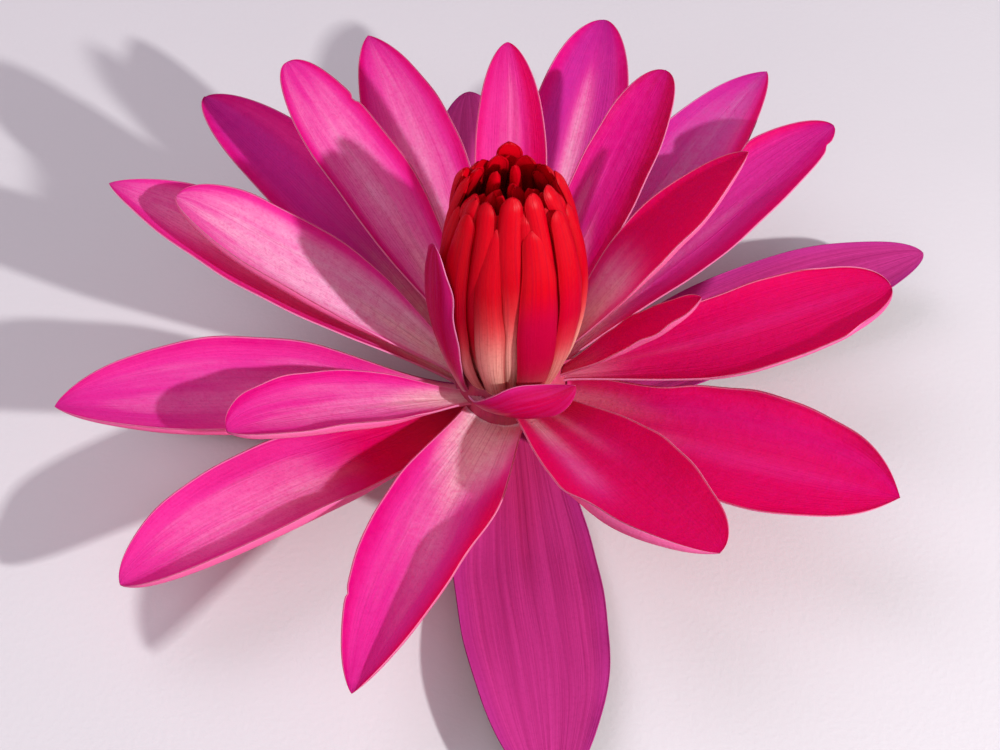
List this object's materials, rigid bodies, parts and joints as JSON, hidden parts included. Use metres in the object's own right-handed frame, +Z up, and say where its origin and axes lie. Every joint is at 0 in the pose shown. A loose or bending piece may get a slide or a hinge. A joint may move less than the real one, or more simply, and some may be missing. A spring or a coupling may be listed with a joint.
{
  "type": "water lily flower",
  "caption": "Open red water lily flower, picked with a short stalk stub: spreading sepals and pointed petals in tiers around a closed urn of strap-shaped stamens.",
  "frame": {"origin": "middle of the flower's outline, on the surface that it rests on", "axes": "+Z up through the flower, +X to the right and -Y to the front as it is mostly seen"},
  "size_m": [0.1677, 0.1744, 0.0668],
  "materials": {
    "petal": "satin, faintly velvety, hot pink with paler middle and darker edges",
    "sepal": "satin, purple-pink inside, dull maroon outside",
    "stamen": "glossy red, cream at the base",
    "ovary": "satin, fleshy",
    "stalk": "satin, fleshy, cut end"
  },
  "bodies": {
    "root": {"curled_petal": "petal", "inner_petal_1": "petal", "inner_petal_2": "petal", "inner_petal_3": "petal", "inner_petal_4": "petal", "inner_stamen_01": "stamen", "inner_stamen_02": "stamen", "inner_stamen_03": "stamen", "inner_stamen_04": "stamen", "inner_stamen_05": "stamen", "inner_stamen_06": "stamen", "inner_stamen_07": "stamen", "inner_stamen_08": "stamen", "inner_stamen_09": "stamen", "inner_stamen_10": "stamen", "inner_stamen_11": "stamen", "middle_stamen_01": "stamen", "middle_stamen_02": "stamen", "middle_stamen_03": "stamen", "middle_stamen_04": "stamen", "middle_stamen_05": "stamen", "middle_stamen_06": "stamen", "middle_stamen_07": "stamen", "middle_stamen_08": "stamen", "middle_stamen_09": "stamen", "middle_stamen_10": "stamen", "middle_stamen_11": "stamen", "outer_petal_1": "petal", "outer_petal_2": "petal", "outer_petal_3": "petal", "outer_petal_4": "petal", "outer_stamen_01": "stamen", "outer_stamen_02": "stamen", "outer_stamen_03": "stamen", "outer_stamen_04": "stamen", "outer_stamen_05": "stamen", "outer_stamen_06": "stamen", "outer_stamen_07": "stamen", "outer_stamen_08": "stamen", "outer_stamen_09": "stamen", "outer_stamen_10": "stamen", "outer_stamen_11": "stamen", "ovary": "ovary", "second_petal_1": "petal", "second_petal_2": "petal", "second_petal_3": "petal", "second_petal_4": "petal", "second_petal_5": "petal", "second_petal_6": "petal", "sepal_back": "sepal", "sepal_front": "sepal", "sepal_left": "sepal", "sepal_right": "sepal", "stalk": "stalk", "third_petal_1": "petal", "third_petal_2": "petal", "third_petal_3": "petal", "third_petal_4": "petal", "third_petal_5": "petal", "third_petal_6": "petal"}
  },
  "joints": []
}
